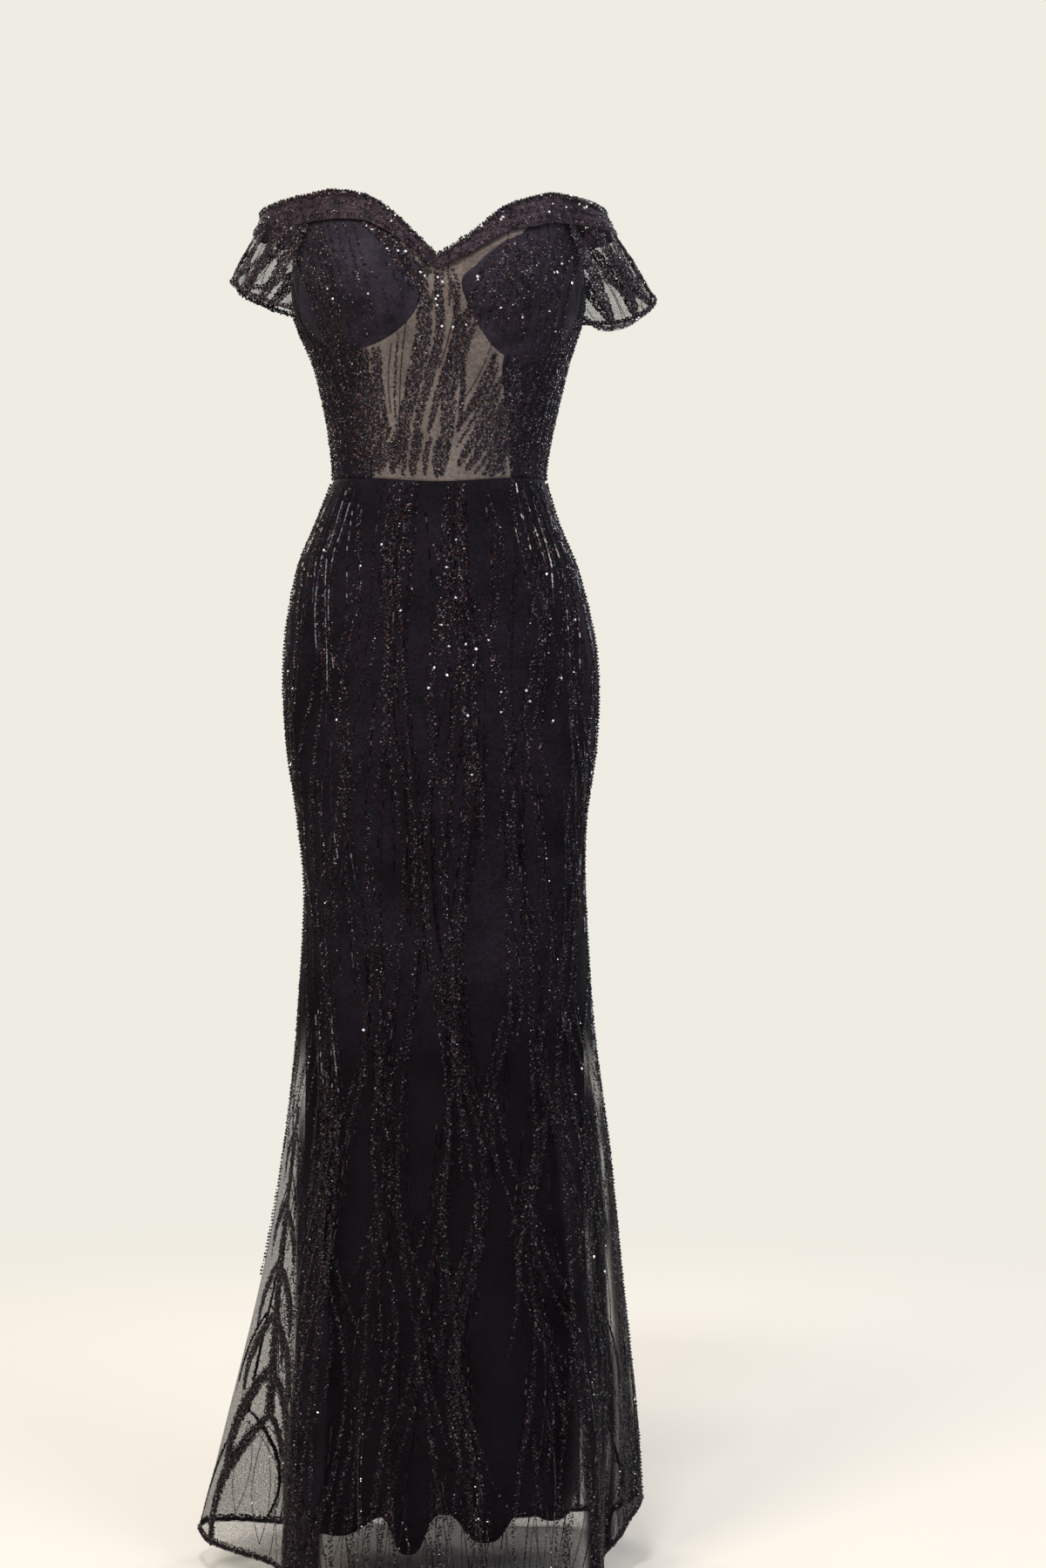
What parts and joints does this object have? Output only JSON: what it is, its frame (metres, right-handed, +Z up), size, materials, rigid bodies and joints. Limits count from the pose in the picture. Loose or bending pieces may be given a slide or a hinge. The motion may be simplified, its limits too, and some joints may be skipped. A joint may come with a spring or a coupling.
{
  "type": "evening gown",
  "caption": "Floor-length off-the-shoulder evening gown in beaded net over a narrow lining, filled out as worn, with a centre-back zip.",
  "frame": {"origin": "middle of the waist seam, where the wearer's waist holds the gown", "axes": "+Z up along the gown, -Y out of its front, +X to the right as seen from the front"},
  "size_m": [0.4702, 0.3366, 1.3972],
  "materials": {
    "illusion_mesh": "matte taupe mesh under black net",
    "cup_cloth": "smooth black net over a padded cup",
    "lined_net": "black beaded net over black lining",
    "band_net": "folded black beaded net",
    "sheer_net": "sheer black net with beads and sequins",
    "lining_cloth": "plain black jersey lining, slight sheen",
    "beading": "glossy black beads and sequins",
    "zip_nylon": "black nylon coil",
    "zip_metal": "black enamelled zinc"
  },
  "bodies": {
    "gown": {"midriff_panel": "illusion_mesh", "cup_left": "cup_cloth", "cup_right": "cup_cloth", "side_front_left": "lined_net", "side_front_right": "lined_net", "bodice_back_right": "lined_net", "bodice_back_left": "lined_net", "neck_band_front_left": "band_net", "neck_band_front_right": "band_net", "neck_band_back_right": "band_net", "neck_band_back_left": "band_net", "sleeve_left": "sheer_net", "sleeve_right": "sheer_net", "skirt_net_front": "sheer_net", "skirt_net_back_right": "sheer_net", "skirt_net_back_left": "sheer_net", "lining_front": "lining_cloth", "lining_back_right": "lining_cloth", "lining_back_left": "lining_cloth", "zip_chain": "zip_nylon", "zip_slider": "zip_metal"},
    "pull_tab": {"zip_pull_tab": "zip_metal"}
  },
  "joints": [
    {"name": "pull_tab_swing", "type": "hinge", "parent": "gown", "child": "pull_tab", "pos_m": [0, 0.1128, 0.206], "axis": [1, 0, 0], "range_deg": [0, 165]}
  ]
}
